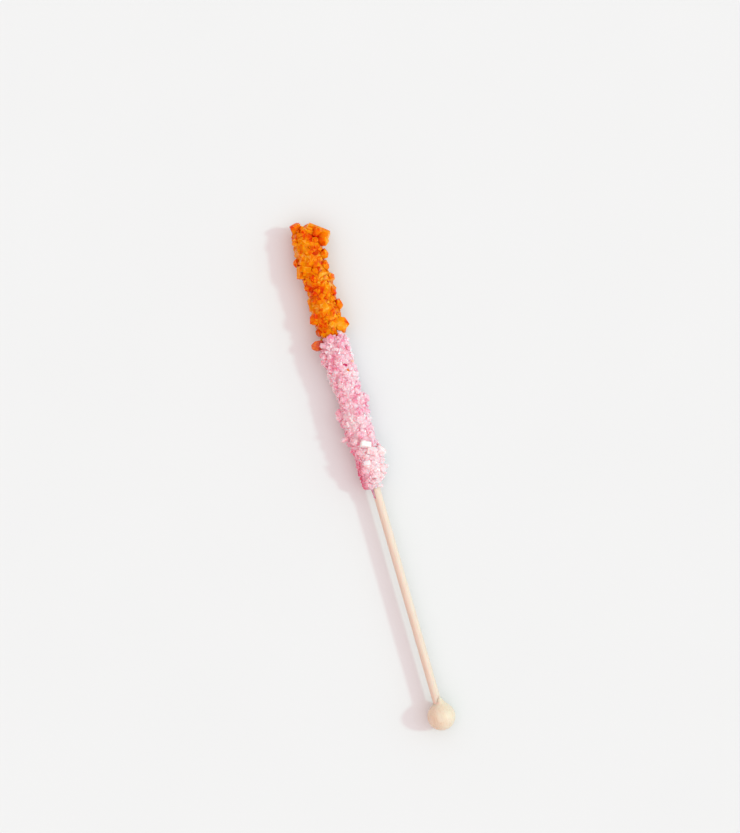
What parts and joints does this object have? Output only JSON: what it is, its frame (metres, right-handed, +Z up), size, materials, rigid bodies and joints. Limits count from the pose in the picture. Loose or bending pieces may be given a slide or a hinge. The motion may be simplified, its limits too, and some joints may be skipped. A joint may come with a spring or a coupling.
{
  "type": "rock candy stick",
  "caption": "Sugar crystals in orange and pink grown round a thin wooden dowel, with a wooden bead at the bare end, lying on its side.",
  "frame": {"origin": "on the plane that the stick rests on, under the middle of the whole stick's box", "axes": "+X along the stick from the bead to the candy's tip, +Y to the stick's left, +Z up"},
  "size_m": [0.192, 0.0184, 0.0119],
  "materials": {
    "birch_dowel": "sanded, unfinished",
    "birch_bead": "turned and sanded, unfinished",
    "pink_sugar": "glossy translucent crystal",
    "orange_sugar": "glossy translucent crystal"
  },
  "bodies": {
    "root": {"dowel": "birch_dowel", "bead": "birch_bead", "candy_pink": "pink_sugar", "candy_orange": "orange_sugar"}
  },
  "joints": []
}
